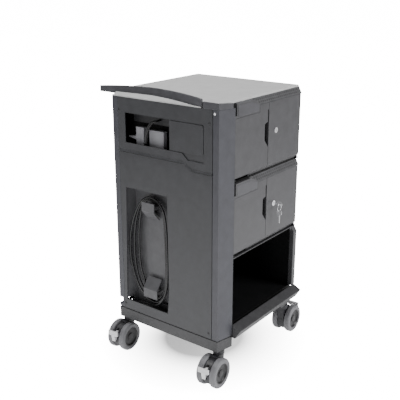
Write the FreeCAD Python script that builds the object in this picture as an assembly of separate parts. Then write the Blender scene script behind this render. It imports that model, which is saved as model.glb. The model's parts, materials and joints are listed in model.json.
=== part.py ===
"""Charging and storage cart on four twin-wheel casters.

Two lockable cabinet modules and an open bay are stacked beside a narrow service column that
holds the power adapters and the wound mains cord. Millimetres, +Z up, floor at z = 0, doors
facing -Y, service column on the -X side. The model is drawn from the column's front corner and
moved at the end so that the origin is the bottom centre of the cart.
"""
import FreeCAD
import Part
import math
import os

V = FreeCAD.Vector

# ---- driving dimensions -------------------------------------------------------------------
BODY_W = 507.0            # column and modules together
BODY_D = 471.0            # front of the modules to the rear face
POST_W = 70.5             # width of the service column
POST_SLANT = 15.0         # how far the column's front face leans forward over its width
WALL = 2.0                # sheet of the module shells
SKIN = 3.0                # moulded column panels
FIT = 0.05                # radial clearance of pins and stems
GAP = 0.4                 # clearance between moving pieces

BASE_Z = 130.0            # underside of the two feet of the base
BASE_H = 41.0             # height of the base
DECK_T = 7.0              # deck between the feet
SEAM = 3.5                # shadow gap above the base
BAY_H = 298.0             # open bay, from the base to the middle module
BAY_FLOOR = 42.0          # height of the bay's floor over the base
JAMB_W = 24.0             # right-hand frame of the bay
MODULE_PITCH = 275.0      # one module over the other
TOP_SINK = 12.0           # the worktop sits this far down into the upper module
DOOR_T = 12.0             # thickness of a door leaf
DOOR_LIFT = 5.0           # underside of a leaf over the module's underside
LEAF_BEVEL_H = 14.3       # height of the bevel along a leaf's foot
LEAF_BEVEL_Y = 11.2       # depth of that bevel, and of the grille's slope
FASCIA_H = 24.0           # band over the right-hand leaf, with the grille
BLOCK_H = 50.0            # taller band over the hinge end of the left-hand leaf
BLOCK_W = 152.0           # its length from the column
LEFT_LEAF_W = 210.5       # column to the split between the leaves
LOCK_FROM_SPLIT = 49.0
LOCK_UP = 135.0           # lock over the underside of the leaf
LOCK_R = 8.0
CAM_L = 62.0
PULL_W = 24.0             # finger pull in the left-hand leaf
PULL_LOW = 81.0           # its lower end over the underside of the leaf
PULL_H = 94.0
SLIT_W = 6.0              # wider slit over the finger pull
SLIT_H = 42.0
HINGE_R = 2.5             # door hinge pins
SLOT_COUNT = 10           # device slots in a module
DIVIDER_H = 60.0
DIVIDER_T = 2.0

COLUMN_CLEAR = 4.0        # top of the column under the worktop
SLAB_T = 16.0             # worktop
RAIL_REAR = 81.0          # reach of the edge rail behind the body, where it is a handle
RAIL_T = 8.0              # edge rail along the worktop's left side
RAIL_IN = 28.0            # how far the rail curves in behind
RAIL_TURN = 7.0           # how far it comes out again by its free end
LEDGE_H = 14.0            # sloping ledge of the worktop under the rail
CAP_L = 66.0              # corner cap at the worktop's front left corner
RAIL_FRONT_Z = 19.0       # height of the rail at its front end, middle and rear end
RAIL_MID_Z = 36.0
RAIL_REAR_Z = 22.0
BUMPER_OUT = 35.5         # reach of the front bumper in front of the base
BUMPER_H = 54.0

STRIP_F = 23.5            # column corner strip beside the side panels
STRIP_R = 26.0            # the same at the rear
PANEL_GAP = 2.5           # gap between the side panels and the corner strip, and at the rear
REAR_GAP = 1.0
SPLIT_DROP = 198.0        # seam between the side panels, under the column's top
SPLIT_STEP = 22.0         # its lower stretch at the front
LIP_OUT = 4.5             # drip edge along the seam: how far it stands out, and its height
LIP_H = 9.0
SCREW_R = 1.5             # panel screws: shank, head and its height
SCREW_HEAD_R = 3.6
SCREW_HEAD_H = 1.6
WIN_FRONT = 61.0          # window: distance from the column's front
WIN_REAR = 60.0           # and from its rear
WIN_TOP = 54.0            # under the column's top
WIN_H = 108.0
SCOOP_W = 84.0            # finger cut under the slide cover
SCOOP_H = 22.0
COVER_W = 148.0           # slide cover over the front of the window
COVER_LAP = 4.0
COVER_T = 2.6
RECESS_FRONT = 219.0      # cord recess: from the column's front
RECESS_REAR = 41.0        # and from its rear
RECESS_LOW = 214.0
RECESS_TOP = 672.0
RECESS_DEPTH = 50.0
ARM_Y = 320.0             # cord cleats: middle of their arms
ARM_LOW_Z = 268.0         # underside of the lower arm
ARM_HIGH_Z = 612.0        # top of the upper arm
ARM_HALF = 25.0           # half the width of an arm
ARM_T = 12.0              # and its thickness
CLEAT_X = 10.0            # outer face of the cleats' plates
CLEAT_T = 4.0             # thickness of the plates
RAMP_RUN = 32.0           # how far the cleats' ramps run back
NOTCH_H = 25.0            # cord notch through the rear strip
NOTCH_Z = 201.0
NOTCH_Y = 17.0

WHEEL_R = 56.0            # casters
TYRE_W = 25.0
WHEEL_GAP = 30.0          # between the two wheels of a caster
HUB_R = 38.0
TRAIL = 36.0
STEM_R = 5.5
AXLE_R = 4.0
HOOD_W = 26.0
COLLAR_R = 21.0
PEDAL_UP = 24.0           # pivot of the pedal over the axle
PEDAL_IN = 17.0           # and in from the tread
PEDAL_HALF = 22.0         # half the width of the pedal, and of its toe
TOE_HALF = 7.0
PEDAL_PIN_R = 2.0
CASTER_IN = 30.0          # stem from the side of the body
CASTER_FRONT = 14.0       # stem from the front, and from the rear
CASTER_REAR = 19.0
CASTER_YAW = 3.0          # how the casters happen to stand, degrees
BOSS_R = 16.0
BUSH_R = 11.0

ADAPTER_X = (25.0, 43.0)  # power adapters behind the window
EDGE_R = 3.0              # rounded edges of the adapters and the plug

CORD_D = 8.0
COIL_X = (6.0, 41.0)      # depth of the wound cord inside the recess
PLUG_Y = 240.0            # plug beside the foot of the winding: its pins' end, and its size
PLUG_L = 44.0
PLUG_HALF = (6.0, 13.0)   # half its thickness and half its height
PLUG_BOOT_R = 5.0
PLUG_BOOT_L = 36.0
PIN_R = 1.6
PIN_L = 8.0
PIN_PITCH = 7.5
GLAND_X = (104.0, 134.0)  # moulded box that the cord comes out of
GLAND_HALF = 13.0
RELIEF_R = 9.0            # its strain relief, and the relief's narrow end
RELIEF_END_R = 5.2

# ---- places that follow from them ---------------------------------------------------------
BASE_TOP = BASE_Z + BASE_H
BAY_TOP = BASE_TOP + BAY_H
MIDDLE_Z = BAY_TOP
UPPER_Z = MIDDLE_Z + MODULE_PITCH
SHELL_TOP = UPPER_Z + MODULE_PITCH - TOP_SINK
SLAB_Z = SHELL_TOP
COLUMN_TOP = SLAB_Z - COLUMN_CLEAR
SPLIT_Z = COLUMN_TOP - SPLIT_DROP
FRONT_Y = -DOOR_T - GAP
SPLIT_X = POST_W + LEFT_LEAF_W
HINGE_LX = POST_W + 1.0 + DOOR_T / 2
HINGE_RX = BODY_W - DOOR_T / 2
HINGE_Y = -GAP - DOOR_T / 2
LOCK_X = SPLIT_X + LOCK_FROM_SPLIT
RAIL_END = BODY_D + RAIL_REAR
WIN_Z1 = COLUMN_TOP - WIN_TOP
WIN_Z0 = WIN_Z1 - WIN_H
COVER_TRAVEL = BODY_D - WIN_REAR - WIN_FRONT - COVER_W
BUMPER_TIP = -POST_SLANT - BUMPER_OUT
# the cart's bottom centre, which becomes the origin
ORIGIN = V(BODY_W / 2, (BUMPER_TIP + RAIL_END) / 2, 0)

parts = {}
# like pieces that share one node
groups = {name: [] for name in ("door_fascias", "vent_grilles", "hinge_lugs", "hinge_pins",
                                "label_blanks", "device_dividers", "panel_screws")}


# ---- helpers ------------------------------------------------------------------------------
def box(x0, x1, y0, y1, z0, z1):
    return Part.makeBox(x1 - x0, y1 - y0, z1 - z0, V(x0, y0, z0))


def face_of(points):
    return Part.Face(Part.makePolygon(points + [points[0]]))


def prism_z(plan, z0, z1):
    return face_of([V(x, y, z0) for x, y in plan]).extrude(V(0, 0, z1 - z0))


def prism_x(profile, x0, x1):
    return face_of([V(x0, y, z) for y, z in profile]).extrude(V(x1 - x0, 0, 0))


def prism_y(profile, y0, y1):
    return face_of([V(x, y0, z) for x, z in profile]).extrude(V(0, y1 - y0, 0))


def prism_along(profile, start, end):
    """An (x, z) outline carried from one (y, z) place to another."""
    corners = [V(x, start[0], start[1] + z) for x, z in profile]
    return face_of(corners).extrude(V(0, end[0] - start[0], end[1] - start[1]))


def rod(start, axis, radius, length):
    return Part.makeCylinder(radius, length, start, axis)


def rod_z(x, y, radius, z0, z1):
    return rod(V(x, y, z0), V(0, 0, 1), radius, z1 - z0)


def rod_y(x, z, radius, y0, y1):
    return rod(V(x, y0, z), V(0, 1, 0), radius, y1 - y0)


def rod_x(y, z, radius, x0, x1):
    return rod(V(x0, y, z), V(1, 0, 0), radius, x1 - x0)


def joined(shapes):
    shape = shapes[0]
    for other in shapes[1:]:
        shape = shape.fuse(other)
    return shape.removeSplitter()


# ---- base ---------------------------------------------------------------------------------
def stem_places():
    """Plan positions of the four caster stems, with the way each one trails."""
    left, right = CASTER_IN, BODY_W - CASTER_IN
    front, rear = CASTER_FRONT, BODY_D - CASTER_REAR
    return {"fl": (left, front, 0), "rl": (left, rear, 0),
            "fr": (right, front, 180), "rr": (right, rear, 180)}


def base_plan():
    return [(0, 0), (POST_W, -POST_SLANT), (BODY_W, -POST_SLANT), (BODY_W, BODY_D), (0, BODY_D)]


def make_base():
    deck_z = BASE_TOP - DECK_T
    foot_in = 6.0
    left_foot = prism_z([(0, 0), (POST_W, -POST_SLANT), (POST_W, BODY_D), (0, BODY_D)],
                        BASE_Z, deck_z)
    right_foot = box(BODY_W - POST_W, BODY_W, -SKIN, BODY_D, BASE_Z, deck_z)
    hollows = [box(x + foot_in, x + POST_W - foot_in, foot_in, BODY_D - foot_in, BASE_Z, deck_z)
               for x in (0, BODY_W - POST_W)]
    shape = joined([prism_z(base_plan(), deck_z, BASE_TOP), left_foot, right_foot])
    for hollow in hollows:
        shape = shape.cut(hollow)
    bushes = []
    for x, y, _ in stem_places().values():
        shape = shape.fuse(rod_z(x, y, BOSS_R, BASE_Z, deck_z))
        shape = shape.cut(rod_z(x, y, BUSH_R, BASE_Z, deck_z))
        bush = rod_z(x, y, BUSH_R, BASE_Z, deck_z)
        bushes.append(bush.cut(rod_z(x, y, STEM_R + FIT, BASE_Z, deck_z)))
    parts["base_chassis"] = shape.removeSplitter()
    parts["caster_bushes"] = Part.makeCompound(bushes)


def make_bumper():
    """Wedge-shaped guard across the front, from the column to the right-hand side."""
    top = BASE_TOP + BUMPER_H - 7.0
    low = BASE_TOP - DECK_T
    back = -POST_SLANT
    profile = [(back, top), (back - 4, top - 2), (BUMPER_TIP, top - 18.5), (back - 13, low), (back, low)]
    parts["front_bumper"] = prism_x(profile, POST_W, BODY_W)


# ---- service column -----------------------------------------------------------------------
def make_column():
    z0, z1 = BASE_TOP + SEAM, COLUMN_TOP
    slope = POST_SLANT / POST_W
    post = [(0, 0), (POST_W, -POST_SLANT), (POST_W, SKIN - POST_SLANT), (SKIN, SKIN * (1 - slope)),
            (SKIN, STRIP_F), (0, STRIP_F)]
    parts["corner_post"] = prism_z(post, z0, z1)
    rear = BODY_D - SKIN
    back = [(0, BODY_D - STRIP_R), (SKIN, BODY_D - STRIP_R), (SKIN, rear), (POST_W, rear),
            (POST_W, BODY_D), (0, BODY_D)]
    notch = box(-1, 56, BODY_D - NOTCH_Y, BODY_D + 1, NOTCH_Z - NOTCH_H / 2, NOTCH_Z + NOTCH_H / 2)
    parts["rear_post"] = prism_z(back, z0, z1).cut(notch)
    wall = box(POST_W - SKIN, POST_W, SKIN + 1 - POST_SLANT, rear, BASE_TOP, z1 - SKIN)
    plinth = box(SKIN, POST_W - SKIN, SKIN, rear - SKIN, BASE_TOP, z0)
    top = [(SKIN, SKIN * (1 - slope)), (POST_W, SKIN - POST_SLANT), (POST_W, rear), (SKIN, rear)]
    parts["column_frame"] = joined([wall, plinth, prism_z(top, z1 - SKIN, z1)])


def recess_outline():
    rear = BODY_D - RECESS_REAR
    return [(RECESS_FRONT + 3, RECESS_TOP), (rear - 14, RECESS_TOP), (rear, RECESS_LOW),
            (RECESS_FRONT + 8, RECESS_LOW), (RECESS_FRONT, RECESS_LOW + 84)]


def screw_places():
    return [(39.0, WIN_Z1 + 7), (BODY_D - 31, WIN_Z1 + 7), (39.0, BASE_TOP + 24),
            (BODY_D - 31, BASE_TOP + 24), (STRIP_F / 2 + 5, COLUMN_TOP - 12)]


def make_side_panels():
    """Lower panel with the cord recess, upper cover with the window, and the slide cover."""
    y0, y1 = STRIP_F + PANEL_GAP, BODY_D - STRIP_R - REAR_GAP
    z0, z1 = BASE_TOP + SEAM, COLUMN_TOP
    step_y = (STRIP_F + 88.5, STRIP_F + 125.5)
    seam = [(y0, SPLIT_Z - SPLIT_STEP), (step_y[0], SPLIT_Z - SPLIT_STEP), (step_y[1], SPLIT_Z),
            (y1, SPLIT_Z)]
    lower = prism_x([(y1, z0), (y0, z0)] + [(y, z - 1) for y, z in seam], 0, SKIN)
    # the upper cover flares out to a drip edge along the seam
    drip = [prism_along([(0, 0), (-LIP_OUT, LIP_OUT / 2), (0, LIP_H)], a, b)
            for a, b in zip(seam, seam[1:])]
    upper = joined([prism_x(seam + [(y1, z1), (y0, z1)], 0, SKIN)] + drip)
    lower = lower.cut(prism_x(recess_outline(), -1, SKIN + 1))
    win_end = BODY_D - WIN_REAR
    window = [(WIN_FRONT, WIN_Z1), (win_end, WIN_Z1), (win_end, WIN_Z0),
              (WIN_FRONT + SCOOP_W + 8, WIN_Z0), (WIN_FRONT + SCOOP_W - 16, WIN_Z0 - SCOOP_H),
              (WIN_FRONT, WIN_Z0 - SCOOP_H)]
    upper = upper.cut(prism_x(window, -1, SKIN + 1))
    for y, z in screw_places():
        hole = rod_x(y, z, SCREW_R, -1, SKIN + 1)
        lower, upper = lower.cut(hole), upper.cut(hole)
        parts["corner_post"] = parts["corner_post"].cut(hole)
        head, shank = rod_x(y, z, SCREW_HEAD_R, -SCREW_HEAD_H, 0), rod_x(y, z, SCREW_R, -0.5, SKIN)
        groups["panel_screws"].append(joined([head, shank]))
    parts["lower_side_panel"] = lower
    parts["upper_side_cover"] = upper
    x0 = SKIN + GAP
    parts["slide_cover"] = box(x0, x0 + COVER_T, WIN_FRONT - COVER_LAP, WIN_FRONT + COVER_W,
                               WIN_Z0 - SCOOP_H - COVER_LAP, WIN_Z1 + COVER_LAP)


def recess_room(margin, z0, z1):
    """The space inside the tray, whose rear wall slants, less a margin all round."""
    front, rear = RECESS_FRONT - 2 + margin, BODY_D - RECESS_REAR - margin
    return prism_z([(SKIN - 1, front), (RECESS_DEPTH - margin, front), (RECESS_DEPTH - margin, rear - 14),
                    (SKIN - 1, rear + 2)], z0, z1)


def make_recess():
    """Moulded tray behind the recess opening, and the two cleats that the cord is wound on."""
    rear, t = BODY_D - RECESS_REAR, 2.5
    deep = RECESS_DEPTH
    front = RECESS_FRONT - 2
    plan = [(SKIN, front - t), (deep + t, front - t), (deep + t, rear - 14 + t), (SKIN, rear + t + 2)]
    z0, z1 = RECESS_LOW - 22, RECESS_TOP + 4
    tray = prism_z(plan, z0, z1 + t).cut(recess_room(0, z0 + t, z1))
    gate = box(SKIN - 1, 34, rear - 30, rear + 12, NOTCH_Z - 8, NOTCH_Z + 18)
    parts["cord_recess_tray"] = tray.cut(gate)
    # upper cleat: a plate that stands up in front of the arm, and a ramp under it that runs back
    x, t, low = CLEAT_X, CLEAT_T, ARM_HIGH_Z - ARM_T
    plate = prism_y([(x, ARM_HIGH_Z + 14), (x + t, ARM_HIGH_Z + 14), (x + t, low - 6),
                     (x + RAMP_RUN, low - 40), (x + RAMP_RUN - 3, low - 44), (x, low - 10)],
                    ARM_Y - ARM_HALF - 2, ARM_Y + ARM_HALF + 8)
    arm = box(x + t, deep, ARM_Y - ARM_HALF, ARM_Y + ARM_HALF, low, ARM_HIGH_Z)
    upper = joined([arm, plate])
    # lower cleat: its ramp comes forward from the back of the tray to a plate below the arm
    x, low, high = x - 1, ARM_LOW_Z, ARM_LOW_Z + ARM_T
    plate = prism_y([(x + t, low - 22), (x, low - 22), (x, high + 2), (x + RAMP_RUN - 3, high + 42),
                     (x + RAMP_RUN, high + 38), (x + t, high)], ARM_Y - ARM_HALF - 9, ARM_Y + ARM_HALF + 8)
    arm = box(x + t, deep, ARM_Y - ARM_HALF, ARM_Y + ARM_HALF, low, high)
    lower = joined([arm, plate])
    parts["cord_cleats"] = Part.makeCompound([upper, lower])


def make_power_shelf():
    """What stands behind the window: a shelf, an outlet strip, two adapters and their lead."""
    y0, y1 = WIN_FRONT - 6, BODY_D - WIN_REAR + 8
    z0 = WIN_Z0 - SCOOP_H - COVER_LAP - 1 - WALL
    x0, x1 = SKIN + 5.5, POST_W - SKIN
    shelf = box(x0, x1, y0, y1, z0, z0 + WALL)
    lip = box(x1 - WALL, x1, y0, y1, z0, WIN_Z1 + 10)
    parts["power_shelf"] = joined([shelf, lip])
    top = z0 + WALL
    strip = box(x1 - WALL - 22, x1 - WALL, y0 + 20, y1 - 10, WIN_Z1 - 38, WIN_Z1)
    parts["outlet_strip"] = strip
    middle = box(*ADAPTER_X, y1 - 165, y1 - 99, top, top + 80)
    rear = box(*ADAPTER_X, y1 - 73, y1 - 37, top, top + 84)
    parts["power_adapters"] = Part.makeCompound([adapter.makeFillet(EDGE_R, adapter.Edges)
                                                 for adapter in (middle, rear)])
    bundle, radii = rounded_route(BUNDLE_ROUTE)
    print("bundle arc radii:", [round(r, 1) for r in radii])
    parts["adapter_leads"] = tube_along(bundle, BUNDLE_ROUTE, BUNDLE_D)


# tied leads of the adapters, from the outlet strip down between the two adapters
BUNDLE_D = 13.0
BUNDLE_ROUTE = [V(43, 282, 930), V(24, 282, 930), V(16, 298, 926), V(15, 316, 902), V(16, 327, 872),
                V(18, 331, 844), V(18, 331, 817)]


def tube_along(wire, route, diameter):
    disc = Part.makeCircle(diameter / 2, route[0], route[1] - route[0])
    return wire.makePipeShell([Part.Wire(disc)], True, False)


# ---- modules ------------------------------------------------------------------------------
def cabinet(z0, z1):
    outer = box(POST_W, BODY_W, 0, BODY_D, z0, z1)
    return outer.cut(box(POST_W + WALL, BODY_W - WALL, -1, BODY_D - WALL, z0 + WALL, z1 - WALL))


def hexagon(x, along, radius, point):
    corners = []
    for i in range(6):
        a = math.radians(60 * i + 30)
        corners.append(point(x + radius * math.cos(a), along + radius * math.sin(a)))
    return corners


def grille(z_top):
    """Perforated plate on the sloping band over the doors."""
    run = math.hypot(LEAF_BEVEL_Y, FASCIA_H - 2)
    dy, dz = LEAF_BEVEL_Y / run, (FASCIA_H - 2) / run
    start = V(0, -1.2, z_top)

    def point(x, s, lift=0.0):
        return start + V(x, -dy * s - dz * lift, -dz * s + dy * lift)

    x0, x1 = POST_W + BLOCK_W - 46, BODY_W - 14
    outline = [point(x0, 1.5), point(x1, 1.5), point(x1, run - 1.5), point(x0 + 40, run - 1.5)]
    normal = point(0, 0, -1) - point(0, 0, 0)
    plate = face_of(outline).extrude(normal * 1.6)
    pitch = 12.5
    cells = []
    for row in range(2):
        s = run * (0.3 + 0.4 * row)
        first = x0 + 18 + 20 * row + pitch / 2 * row
        for i in range(int((x1 - 6 - first) / pitch) + 1):
            ring = hexagon(first + pitch * i, s, 4.6, lambda a, b: point(a, b, 2))
            cells.append(face_of(ring).extrude(normal * 6))
    return plate.cut(Part.makeCompound(cells)), outline, normal


def module_front(z0):
    """Fascia, grille, name plate blank and hinge pins of one module."""
    z_top = z0 + MODULE_PITCH - 3.0
    x_mid = POST_W + BLOCK_W
    band_z = z_top - FASCIA_H
    band = prism_x([(0, z_top), (-1.2, z_top), (-1.2 - LEAF_BEVEL_Y, z_top - FASCIA_H + 2),
                    (-1.2 - LEAF_BEVEL_Y, band_z), (0, band_z)], POST_W + 1, BODY_W)
    block_z = z_top - BLOCK_H
    block = prism_y([(POST_W + 13, z_top), (x_mid - 44, z_top), (x_mid, band_z + 2), (x_mid, block_z),
                     (POST_W + 13, block_z)], FRONT_Y, 0)
    back = box(POST_W + 1, x_mid, -2, 0, block_z, z_top)
    lug = box(POST_W + 1, POST_W + 14, FRONT_Y, 0, block_z, block_z + 8)
    left_low = box(POST_W + 1, POST_W + 14, -11, 0, z0 + DOOR_LIFT + 1.5, z0 + DOOR_LIFT + 7.5)
    right_low = box(BODY_W - 12, BODY_W, -9, 0, z0, z0 + DOOR_LIFT - 0.6)
    band = band.cut(box(POST_W, x_mid - 44, -20, 1, band_z - 1, z_top + 1))
    shape = joined([band, block, back, lug])
    plate, outline, normal = grille(z_top)
    shape = shape.cut(face_of(outline).extrude(normal * 1.6))
    shape = shape.cut(face_of([p + normal for p in inset(outline)]).extrude(normal * 30))
    pins, leaf_top = [], z0 + MODULE_PITCH - 3 - BLOCK_H - 1
    ends = {(HINGE_LX, 1): (leaf_top - 10, block_z + 7), (HINGE_LX, 0): (z0 + 7, z0 + 22),
            (HINGE_RX, 1): (band_z - 11, band_z + 8), (HINGE_RX, 0): (z0 + 1, z0 + 15)}
    brackets = joined([left_low, box(POST_W + 1, POST_W + 14, -2, 0, z0 + 1, z0 + 12)])
    for (x, _), (low, high) in ends.items():
        pin = rod_z(x, HINGE_Y, HINGE_R, low, high)
        pins.append(pin)
        shape, brackets, right_low = shape.cut(pin), brackets.cut(pin), right_low.cut(pin)
    groups["door_fascias"].append(shape)
    groups["vent_grilles"].append(plate)
    groups["hinge_lugs"] += [brackets, right_low]
    groups["hinge_pins"] += pins
    label = prism_y([(POST_W + 19, z_top - 8), (x_mid - 52, z_top - 8), (x_mid - 5, band_z),
                     (x_mid - 9, block_z + 4), (POST_W + 22, block_z + 4)], FRONT_Y - 0.8, FRONT_Y)
    groups["label_blanks"].append(label)


def inset(outline):
    """The grille's outline, 3 mm smaller all round."""
    middle = (outline[0] + outline[1] + outline[2] + outline[3]) * 0.25
    grown = []
    for p in outline:
        step = V(3 if p.x < middle.x else -3, 0, 0)
        grown.append(p + step + (middle - p) * 0.02 + V(0, (middle.y - p.y) * 0.2, (middle.z - p.z) * 0.2))
    return grown


def leaf(x_hinge, x_free, z0, z1):
    """Door leaf with a rounded hinge edge and a bevel along its foot."""
    profile = prism_x([(-GAP, z0), (-1.2, z0), (FRONT_Y, z0 + LEAF_BEVEL_H), (FRONT_Y, z1), (-GAP, z1)],
                      min(x_hinge, x_free) - 20, max(x_hinge, x_free) + 20)
    flat = box(min(x_hinge, x_free), max(x_hinge, x_free), FRONT_Y, -GAP, z0, z1)
    return profile.common(joined([flat, rod_z(x_hinge, HINGE_Y, DOOR_T / 2, z0, z1)]))


def make_doors(name, z0):
    foot = z0 + DOOR_LIFT
    z_top = z0 + MODULE_PITCH - 3.0
    left_top, right_top = z_top - BLOCK_H - 1, z_top - FASCIA_H - 1
    step_x = POST_W + BLOCK_W + 1
    pull_z = foot + PULL_LOW
    left = leaf(HINGE_LX, SPLIT_X - 0.8, foot, right_top)
    left = left.cut(box(POST_W, step_x, -20, 5, left_top, right_top + 5))
    left = left.cut(box(POST_W, POST_W + 96, -20, 5, foot - 1, foot + 9))
    left = left.cut(box(HINGE_LX + 12, SPLIT_X - PULL_W - 12, -DOOR_T - GAP + SKIN, 5, foot + 22,
                        left_top - 10))
    pull = [(SPLIT_X, pull_z), (SPLIT_X - PULL_W, pull_z + 30), (SPLIT_X - PULL_W, pull_z + PULL_H - 7),
            (SPLIT_X - SLIT_W, pull_z + PULL_H), (SPLIT_X - SLIT_W, pull_z + PULL_H + SLIT_H),
            (SPLIT_X, pull_z + PULL_H + SLIT_H)]
    left = left.cut(prism_y(pull, -20, 5))
    right = leaf(HINGE_RX, SPLIT_X + 0.8, foot, right_top)
    right = right.cut(box(SPLIT_X + 12, HINGE_RX - 12, -DOOR_T - GAP + SKIN, 5, foot + 22,
                          right_top - 10))
    lock_z = foot + LOCK_UP
    right = right.fuse(rod_y(LOCK_X, lock_z, LOCK_R + 7, FRONT_Y, -GAP)).removeSplitter()
    right = right.cut(rod_y(LOCK_X, lock_z, LOCK_R + FIT, FRONT_Y - 1, 1))
    for x, low, high in ((HINGE_LX, left_top - 10.5, left_top), (HINGE_LX, foot, z0 + 22.5)):
        left = left.cut(rod_z(x, HINGE_Y, HINGE_R + FIT, low - 1, high + 1))
    for x, low, high in ((HINGE_RX, right_top - 10.5, right_top), (HINGE_RX, foot, z0 + 15.5)):
        right = right.cut(rod_z(x, HINGE_Y, HINGE_R + FIT, low, high + 1))
    parts[name + "_left_door"] = left
    parts[name + "_right_door"] = right
    return lock_z


def lock(z):
    """Cam lock: head, barrel and the cam, which hangs down while it is unlocked."""
    head = rod_y(LOCK_X, z, LOCK_R + 2, FRONT_Y - 2.5, FRONT_Y - 0.1)
    barrel = rod_y(LOCK_X, z, LOCK_R, FRONT_Y - 0.1, 3)
    cam = box(LOCK_X - 8, LOCK_X + 8, 3, 5.5, z - CAM_L, z + 9)
    slot = box(LOCK_X - 1.3, LOCK_X + 1.3, FRONT_Y - 3, FRONT_Y + 8, z - 4.2, z + 4.2)
    return joined([head, barrel, cam]).cut(slot)


def key_plate(z_bow, z_tip, x):
    """Flat key that hangs down: bow with a hole, and a blade."""
    bow = rod_x(KEY_Y, z_bow, 11, x - 1, x + 1)
    blade = box(x - 1, x + 1, KEY_Y - 3.2, KEY_Y + 3.2, z_tip, z_bow - 8)
    return joined([bow, blade]).cut(rod_x(KEY_Y, z_bow + 6.5, 2.6, x - 2, x + 2))


KEY_Y = FRONT_Y - 27.0    # plane in which the spare key hangs


def make_keys(lock_z):
    """Key in the middle lock, with a ring through its bow and a second key on the ring."""
    blade = box(LOCK_X - 1, LOCK_X + 1, FRONT_Y - 22, FRONT_Y + 6, lock_z - 3.2, lock_z + 3.2)
    bow = rod_x(KEY_Y, lock_z, 11, LOCK_X - 1, LOCK_X + 1)
    parts["door_key"] = joined([blade, bow]).cut(rod_x(KEY_Y, lock_z, 3.2, LOCK_X - 2, LOCK_X + 2))
    ring_r = 13.0
    parts["key_ring"] = Part.makeTorus(ring_r, 0.9, V(LOCK_X, KEY_Y, lock_z - ring_r), V(0, 1, 0))
    parts["spare_key"] = key_plate(lock_z - 2 * ring_r - 6.5, lock_z - 2 * ring_r - 46, LOCK_X)


def make_modules():
    lock_z = {}
    for name, z0, z1 in (("upper", UPPER_Z, SHELL_TOP), ("middle", MIDDLE_Z, UPPER_Z)):
        parts[name + "_cabinet"] = cabinet(z0, z1)
        module_front(z0)
        lock_z[name] = make_doors(name, z0)
        parts[name + "_lock"] = lock(lock_z[name])
        inner = BODY_W - POST_W - 2 * WALL
        pitch = inner / SLOT_COUNT
        for i in range(1, SLOT_COUNT):
            x = POST_W + WALL + pitch * i
            groups["device_dividers"].append(box(x - DIVIDER_T / 2, x + DIVIDER_T / 2, 40, BODY_D - 40,
                                                 z0 + WALL, z0 + WALL + DIVIDER_H))
    make_keys(lock_z["middle"])


def make_bay():
    """Open bay under the modules: its shell and the frame round its mouth."""
    floor_z = BASE_TOP + BAY_FLOOR
    shell = box(POST_W, BODY_W, 0, BODY_D, BASE_TOP, BAY_TOP)
    shell = shell.cut(box(POST_W + WALL, BODY_W - WALL, -1, BODY_D - WALL, floor_z, BAY_TOP - WALL))
    shell = shell.cut(box(POST_W + WALL, BODY_W - WALL, WALL, BODY_D + 1, BASE_TOP + WALL,
                          floor_z - WALL))
    parts["bay_shell"] = shell
    front = -POST_SLANT - 4
    jamb = prism_x([(0, floor_z + 5), (front, floor_z + 5), (front, BAY_TOP - 20), (-7, BAY_TOP),
                    (0, BAY_TOP)], BODY_W - JAMB_W, BODY_W)
    lip = box(POST_W + 1, BODY_W - JAMB_W, -7, 0, BAY_TOP - 4, BAY_TOP)
    corner = prism_y([(BODY_W - JAMB_W - 12, BAY_TOP - 4), (BODY_W - JAMB_W, BAY_TOP - 4),
                      (BODY_W - JAMB_W, BAY_TOP - 18)], -7, 0)
    parts["bay_frame"] = joined([jamb, lip, corner])


def make_back():
    """Vented service panel over the backs of the modules, with its screws."""
    x0, x1, z0, z1 = POST_W + 12, BODY_W - 12, BASE_TOP + 4, SHELL_TOP - 14
    y0, y1 = BODY_D, BODY_D + WALL
    panel = box(x0, x1, y0, y1, z0, z1)
    slots, rows, step = [], 5, 13.0
    for base in (MIDDLE_Z + MODULE_PITCH / 2, UPPER_Z + MODULE_PITCH / 2):
        for row in range(rows):
            z = base + step * row
            slots.append(box(x0 + 60, x1 - 60, y0 - 1, y1 + 1, z, z + 4))
    panel = panel.cut(Part.makeCompound(slots))
    for x in (x0 + 12, x1 - 12):
        for z in (z0 + 12, (z0 + z1) / 2, z1 - 12):
            panel = panel.cut(rod_y(x, z, SCREW_R, y0 - 1, y1 + 1))
            head = rod_y(x, z, SCREW_HEAD_R, y1, y1 + SCREW_HEAD_H)
            groups["panel_screws"].append(joined([head, rod_y(x, z, SCREW_R, y0, y1 + 0.5)]))
    parts["rear_panel"] = panel


# ---- worktop ------------------------------------------------------------------------------
def rail_line(offset):
    """Plan curve of the rail, which runs inwards behind the corner cap."""
    bend = Part.Arc(V(offset, CAP_L + 4, 0), V(offset + 0.62 * RAIL_IN, CAP_L + 114, 0),
                    V(offset + RAIL_IN, CAP_L + 244, 0)).toShape()
    return bend, V(offset + RAIL_IN - RAIL_TURN, RAIL_END, 0)


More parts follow.
